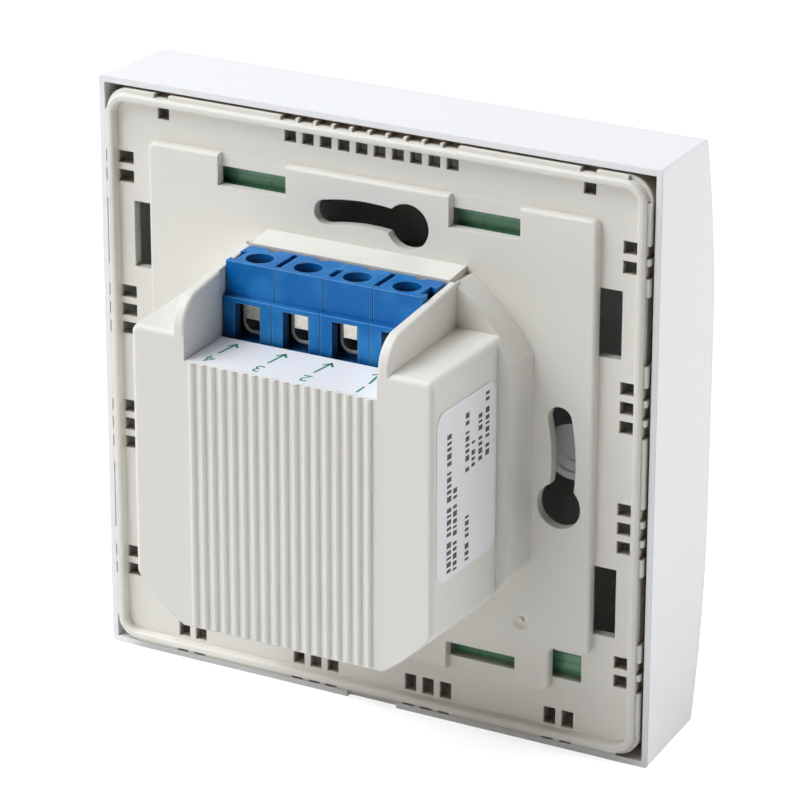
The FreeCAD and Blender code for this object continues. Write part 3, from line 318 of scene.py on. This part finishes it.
# natural nylon, turned: milky white
spacer_nylon = moulded("turned_natural_nylon", "#E8E6DE", "#E2E0D6", roughness=0.45, grain_size=0.3,
                       grain_depth=0.004)
# chip packages: matt black with a fine moulded grain
package_black = moulded("transfer_moulded_epoxy_black", "#26272A", "#2C2D30", roughness=0.5,
                        grain_size=0.12, grain_depth=0.006, edge=0.06)
# relay case: blue-black with a soft gloss
relay_black = moulded("moulded_PBT_relay_case", "#2B2F38", "#30343D", roughness=0.35, grain_size=0.3,
                      grain_depth=0.003)
# film capacitor case: mustard yellow with a soft gloss
film_yellow = moulded("moulded_PBT_film_case", "#D6B64A", "#CFAE40", roughness=0.35, grain_size=0.3,
                      grain_depth=0.003)
# capacitor sleeve: glossy black with slight ripples
sleeve_black = moulded("shrunk_PVC_sleeve_black", "#22242C", "#282A33", roughness=0.28, grain_size=0.6,
                       grain_depth=0.01)
# chip bodies: dull brown-grey ceramic
chip_grey = moulded("fired_ceramic_chip", "#85786B", "#7C7064", roughness=0.55, grain_size=0.1,
                    grain_depth=0.005, edge=0.05)
# inductor core: dark grey, dull and grainy
ferrite_grey = moulded("sintered_ferrite", "#3E3C3D", "#464445", roughness=0.6, grain_size=0.15,
                       grain_depth=0.012)
# varistor: dipped blue coating, slightly lumpy
varistor_blue = moulded("dipped_epoxy_blue", "#2F57A8", "#2A4F9C", roughness=0.4, grain_size=0.5,
                        grain_depth=0.02)
# fuse resistor: pale green cement-like coat
fuse_green = moulded("flameproof_coated_resistor", "#B9C6AE", "#AFBDA4", roughness=0.5, grain_size=0.3,
                     grain_depth=0.01)
# zinc plated steel: pale grey with fine lines
screw_zinc = plated("zinc_plated_steel", "#C9C8C4", "#A7A6A2", 0.30, (1.0, 1.0, 0.15))
# pressed and plated cages: warmer and brighter, lines along the row
cage_steel = plated("zinc_plated_pressed_steel", "#E6E4DD", "#C2BFB6", 0.38, (0.15, 1.0, 1.0))
# contact bars: bright warm tin
bar_tin = plated("tinned_brass", "#E2DED2", "#C9C4B4", 0.28, (1.0, 0.15, 1.0))
# shield can and soldered ends: neutral tin
can_tin = plated("tinned_steel_sheet", "#C6C8CA", "#B4B6B9", 0.30, (1.0, 1.0, 0.1))
# pins: yellow gold flash
pin_gold = plated("gold_flashed_brass", "#D9B766", "#C7A454", 0.28, (1.0, 0.15, 1.0))
# antenna patches: pinker gold over copper
patch_gold = plated("gold_flashed_copper", "#E0B98A", "#D2A878", 0.35, (1.0, 1.0, 1.0))
# glass-epoxy boards: mid green with faint tracks, and a darker green with wide fields
board_green = circuit("green_solder_mask_board", "#538869", "#639A7A", pitch=1.27)
antenna_green = circuit("green_solder_mask_antenna", "#235941", "#2A6248", pitch=4.0)
# flat ink of the terminal marks: matt green with slightly soft coverage
print_green = moulded("screen_printed_green_ink", "#1E7D55", "#24855C", roughness=0.6, grain_size=0.1,
                      grain_depth=0.001, edge=0.01)
# thermal print on the rating label: dark grey and matt
print_grey = moulded("thermal_printed_grey", "#3C3D42", "#46474C", roughness=0.6, grain_size=0.1,
                     grain_depth=0.001, edge=0.01)
# acrylic: a smoky window, and a nearly colourless light guide
window_clear = clear("polished_acrylic_window", "#D6DADC", roughness=0.12, transmission=0.7)
guide_clear = clear("polished_acrylic_guide", "#E6EEF0", roughness=0.08, transmission=0.85)

finishes = {
    "fascia_cover": cover_white,
    "window_lens": window_clear,
    "rear_chassis": chassis_white,
    "rear_housing": housing_white,
    "terminal_label": label_paper,
    "rating_label": label_paper,
    "control_board": board_green,
    "control_board_screws": screw_zinc,
    "housing_screws": screw_zinc,
    "power_board": board_green,
    "link_pins": pin_gold,
    "module_pins": pin_gold,
    "module_spacers": spacer_nylon,
    "antenna_board": antenna_green,
    "antenna_patches": patch_gold,
    "oscillator_can": can_tin,
    "light_guide": guide_clear,
    "light_sensor": package_black,
    "status_led": guide_clear,
    "microcontroller": package_black,
    "small_components": chip_grey,
    "relay": relay_black,
    "film_capacitor": film_yellow,
    "smoothing_capacitor": sleeve_black,
    "inductor": ferrite_grey,
    "varistor": varistor_blue,
    "fuse_resistor": fuse_green,
    "terminal_block_left": terminal_blue,
    "terminal_block_right": terminal_blue,
    "contact_bars": bar_tin,
}
for pole in range(1, 5):
    finishes[f"terminal_screw_{pole}"] = screw_zinc
    finishes[f"clamp_cage_{pole}"] = cage_steel
for name, node in nodes.items():
    node.data.materials.clear()
    node.data.materials.append(finishes[name])


# Print on the labels, in millimetres
ink_thickness = 0.01
label_thickness = 0.12
stroke_width = 0.35
arrow_y = (19.1, 15.2)
# each arrow's tail and tip along X
arrow_x = [(-11.03, -10.6), (-2.68, -3.17), (4.34, 3.9), (11.93, 11.45)]
arrow_head = (0.65, 0.9)
number_x = [-11.0, -2.7, 4.45, 11.9]
number_y = 21.3
number_size = 3.1
# each row's place across the rating label, its start, its end and its height
mark_rows = [(19.4, -9.8, 9.6, 1.15), (17.8, -10.0, 1.4, 1.0), (14.6, -9.8, -3.6, 1.0),
             (14.6, 2.9, 10.9, 1.0), (13.0, 3.1, 6.5, 0.9), (11.1, 3.3, 9.5, 1.0), (9.2, 3.4, 12.4, 1.0)]
mark_widths = [0.45, 0.7, 0.35, 0.6, 0.8, 0.5]
mark_gap = 0.35
word_gap = 0.9
word_length = 5


def place_piece(name, mesh, body, finish):
    """A finished mesh as a piece that rides on a body and takes its finish from a slot."""
    data = bpy.data.meshes.new(name)
    mesh.to_mesh(data)
    mesh.free()
    data.materials.append(finish)
    piece = bpy.data.objects.new(name, data)
    bpy.context.scene.collection.objects.link(piece)
    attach(piece, body)


def ink_bar(mesh, start, end, across, overlap=0.0):
    """A thin printed bar between two points of the label's plane, in millimetres."""
    start = Vector(start)
    along = Vector(end) - start
    middle = start + along / 2
    turn = Matrix.Rotation(math.atan2(along.y, along.x), 4, "Z")
    size = Matrix.Diagonal((along.length + overlap, across, ink_thickness, 1.0))
    place = Matrix.Translation((middle.x, middle.y, ink_thickness / 2))
    bmesh.ops.create_cube(mesh, size=1.0, matrix=place @ turn @ size)


def terminal_print():
    """Green arrows towards the four wire entries, and their plain numbers."""
    label_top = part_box("terminal_label")[1].z / mm
    lift = Matrix.Translation((0, 0, label_top))
    mesh = bmesh.new()
    for tail, tip in arrow_x:
        head = (tip, arrow_y[1])
        ink_bar(mesh, (tail, arrow_y[0]), head, stroke_width)
        for side in (-1, 1):
            wing = (tip + side * arrow_head[0], arrow_y[1] + arrow_head[1])
            ink_bar(mesh, head, wing, stroke_width, stroke_width)
    mesh.transform(Matrix.Scale(mm, 4) @ lift)
    place_piece("terminal_label_arrows", mesh, "frame", print_green)
    for number, x in enumerate(number_x, 1):
        words = bpy.data.curves.new(f"number_{number}", "FONT")
        words.body = str(number)
        words.size = number_size
        words.align_x = "CENTER"
        words.align_y = "CENTER"
        words.extrude = ink_thickness / 2
        writing = bpy.data.objects.new(f"writing_{number}", words)
        mesh = bmesh.new()
        mesh.from_mesh(bpy.data.meshes.new_from_object(writing))
        place = Matrix.Translation((x, number_y, ink_thickness / 2))
        mesh.transform(Matrix.Scale(mm, 4) @ lift @ place)
        place_piece(f"terminal_number_{number}", mesh, "frame", print_green)
        bpy.data.objects.remove(writing)


def rating_print():
    """Plain rows of marks where the rating label's lettering is."""
    low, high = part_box("rating_label")
    lean = math.atan((high.x - low.x - label_thickness * mm) / (high.y - low.y))
    mesh = bmesh.new()
    count = 0
    for row_y, start, end, height in mark_rows:
        across = row_y - low.y / mm
        place = start
        while place < end:
            width = mark_widths[count % len(mark_widths)]
            ink_bar(mesh, (place, across), (place + width, across), height)
            count += 1
            place += width + (word_gap if count % word_length == 0 else mark_gap)
    upright = Matrix(((0, 0, -1, 0), (0, 1, 0, 0), (1, 0, 0, 0), (0, 0, 0, 1)))
    corner = Matrix.Translation((low.x / mm, low.y / mm, 0))
    mesh.transform(Matrix.Scale(mm, 4) @ corner @ Matrix.Rotation(-lean, 4, "Z") @ upright)
    place_piece("rating_label_marks", mesh, "frame", print_grey)


terminal_print()
rating_print()


# Tinned ends of the parts on the control board, in millimetres
leg_width = 0.32
leg_pitch = 0.8
leg_reach = 0.9
leg_thickness = 0.15
leg_rise = 0.5
cap_length = 0.35
cap_skin = 0.03
same_place = 0.001


def tin_block(mesh, start, end):
    """A plain block of tin between two corners, in metres."""
    size = Matrix.Diagonal((*(b - a for a, b in zip(start, end)), 1.0))
    middle = [(a + b) / 2 for a, b in zip(start, end)]
    bmesh.ops.create_cube(mesh, size=1.0, matrix=Matrix.Translation(middle) @ size)


def controller_legs():
    """Stepped legs along the controller's four sides, down to the board."""
    low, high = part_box("microcontroller")
    knee = leg_reach / 2
    # each leg's shoulder, drop and foot: its reach from, its reach to, its top and its bottom
    steps = [(0, knee, leg_rise, leg_rise - leg_thickness),
             (knee - leg_thickness, knee, leg_rise, 0),
             (knee - leg_thickness, leg_reach, leg_thickness, 0)]
    mesh = bmesh.new()
    for along, across in ((0, 2), (2, 0)):
        middle = (low[along] + high[along]) / 2
        count = int((high[along] - low[along]) / (leg_pitch * mm))
        for number in range(count):
            centre = middle + (number - (count - 1) / 2) * leg_pitch * mm
            for edge, side in ((low[across], -1), (high[across], 1)):
                for near, far, top, foot in steps:
                    start = [0, high.y - top * mm, 0]
                    end = [0, high.y - foot * mm, 0]
                    start[along] = centre - leg_width / 2 * mm
                    end[along] = centre + leg_width / 2 * mm
                    start[across], end[across] = sorted((edge + side * near * mm, edge + side * far * mm))
                    tin_block(mesh, start, end)
    place_piece("controller_legs", mesh, "frame", can_tin)


def chip_boxes():
    """The low and high corners of each small chip, in metres."""
    chips = bmesh.new()
    chips.from_mesh(nodes["small_components"].data)
    bmesh.ops.remove_doubles(chips, verts=chips.verts, dist=same_place * mm)
    boxes = []
    seen = set()
    for first in chips.verts:
        if first in seen:
            continue
        seen.add(first)
        chip = [first]
        for corner in chip:
            for edge in corner.link_edges:
                other = edge.other_vert(corner)
                if other not in seen:
                    seen.add(other)
                    chip.append(other)
        low = [min(corner.co[axis] for corner in chip) for axis in range(3)]
        high = [max(corner.co[axis] for corner in chip) for axis in range(3)]
        boxes.append((low, high))
    chips.free()
    return boxes


def component_ends():
    """A tinned cap on both ends of each small chip."""
    mesh = bmesh.new()
    for low, high in chip_boxes():
        long_axis = 0 if high[0] - low[0] > high[2] - low[2] else 2
        short_axis = 2 - long_axis
        for end, inward in ((low[long_axis], 1), (high[long_axis], -1)):
            start = [low[0], low[1] - cap_skin * mm, low[2]]
            stop = list(high)
            start[short_axis] -= cap_skin * mm
            stop[short_axis] += cap_skin * mm
            ends = (end - inward * cap_skin * mm, end + inward * cap_length * mm)
            start[long_axis], stop[long_axis] = sorted(ends)
            tin_block(mesh, start, stop)
    place_piece("component_ends", mesh, "frame", can_tin)


controller_legs()
component_ends()


# Camera, from the photograph's vanishing points
camera_place = Vector((-255.71, 460.31, 214.28)) * mm
aim = Vector((-5.226, 0.0, 4.423)) * mm
camera_roll = math.radians(0.12)
lens_data = bpy.data.cameras.new("camera")
lens_data.lens = 186.73
lens_data.sensor_width = 36.0
lens_data.clip_start = 0.01
camera = bpy.data.objects.new("camera", lens_data)
bpy.context.scene.collection.objects.link(camera)
camera_turn = (aim - camera_place).to_track_quat("-Z", "Y").to_matrix().to_4x4()
camera.matrix_world = Matrix.Translation(camera_place) @ camera_turn @ Matrix.Rotation(camera_roll, 4, "Z")
bpy.context.scene.camera = camera

# Floor, world and lights, in metres
sight_rays = ["Is Camera Ray", "Is Glossy Ray", "Is Transmission Ray"]
floor_radius = 3.0
floor_segments = 64
floor_lift = 0.70
floor_drift = 60.0
world_tone = "#FFF1DC"
world_strength = 0.03
# each lamp's name, place, size, watts and colour
lamps = [("key", (0.514, 0.414, 0.683), 0.85, 7.5, "#F9FBFF"),
         ("above", (0.24, 0.12, 0.87), 0.6, 3.6, "#F9FBFF"),
         ("beside", (-0.758, -0.505, 0.269), 0.75, 4.7, "#FFFFFF"),
         ("low", (0.35, 0.95, 0.02), 0.6, 1.1, "#FFF8EE"),
         ("front", (-0.38, -0.92, 0.1), 0.5, 1.3, "#FFFFFF")]


def seen_share(tree):
    """1 for a ray of the camera, of a gloss or through clear material, and 0 for one that lights."""
    path = add(tree, "ShaderNodeLightPath")
    share = path.outputs[sight_rays[0]]
    for name in sight_rays[1:]:
        share = add(tree, "ShaderNodeMath", {0: share, 1: path.outputs[name]},
                    operation="MAXIMUM").outputs["Value"]
    return share


def stage_material():
    """A pale floor that the camera sees as nearly white and that keeps the shadow."""
    material, tree, shader, place = start_material("pale_studio_floor")
    tree.links.new(mottled(tree, place, "#F2F2F2", "#EEEEEE", floor_drift), shader.inputs["Base Color"])
    shader.inputs["Roughness"].default_value = 0.9
    lift = add(tree, "ShaderNodeMath", {0: seen_share(tree), 1: floor_lift}, operation="MULTIPLY")
    tree.links.new(lift.outputs["Value"], shader.inputs["Emission Strength"])
    shader.inputs["Emission Color"].default_value = (1, 1, 1, 1)
    return material


def floor():
    """A wide disc under the detector's bottom edge."""
    mesh = bmesh.new()
    bmesh.ops.create_circle(mesh, cap_ends=True, segments=floor_segments, radius=floor_radius,
                            matrix=Matrix.Translation((0, 0, cad_box[0][2])))
    data = bpy.data.meshes.new("floor")
    mesh.to_mesh(data)
    mesh.free()
    plane = bpy.data.objects.new("floor", data)
    data.materials.append(stage_material())
    bpy.context.scene.collection.objects.link(plane)


def soft_light(name, place, size, watts, colour):
    """A square area lamp that faces the detector."""
    data = bpy.data.lights.new(name, "AREA")
    data.size = size
    data.energy = watts
    data.color = linear(colour)[:3]
    lamp = bpy.data.objects.new(name, data)
    place = Vector(place)
    turn = (-place).to_track_quat("-Z", "Y").to_matrix().to_4x4()
    lamp.matrix_world = Matrix.Translation(place) @ turn
    bpy.context.scene.collection.objects.link(lamp)


def studio():
    """A dim warm surrounding light that is seen as plain white."""
    world = bpy.data.worlds.new("studio")
    world.use_nodes = True
    tree = world.node_tree
    tree.nodes.clear()
    around = add(tree, "ShaderNodeBackground", {"Color": linear(world_tone), "Strength": world_strength})
    shown = add(tree, "ShaderNodeBackground", {"Color": (1, 1, 1, 1), "Strength": 1.0})
    mixed = add(tree, "ShaderNodeMixShader", {0: seen_share(tree), 1: around.outputs["Background"],
                                              2: shown.outputs["Background"]})
    add(tree, "ShaderNodeOutputWorld", {"Surface": mixed.outputs["Shader"]})
    bpy.context.scene.world = world


floor()
for lamp in lamps:
    soft_light(*lamp)
studio()
bpy.context.scene.view_settings.view_transform = "Standard"
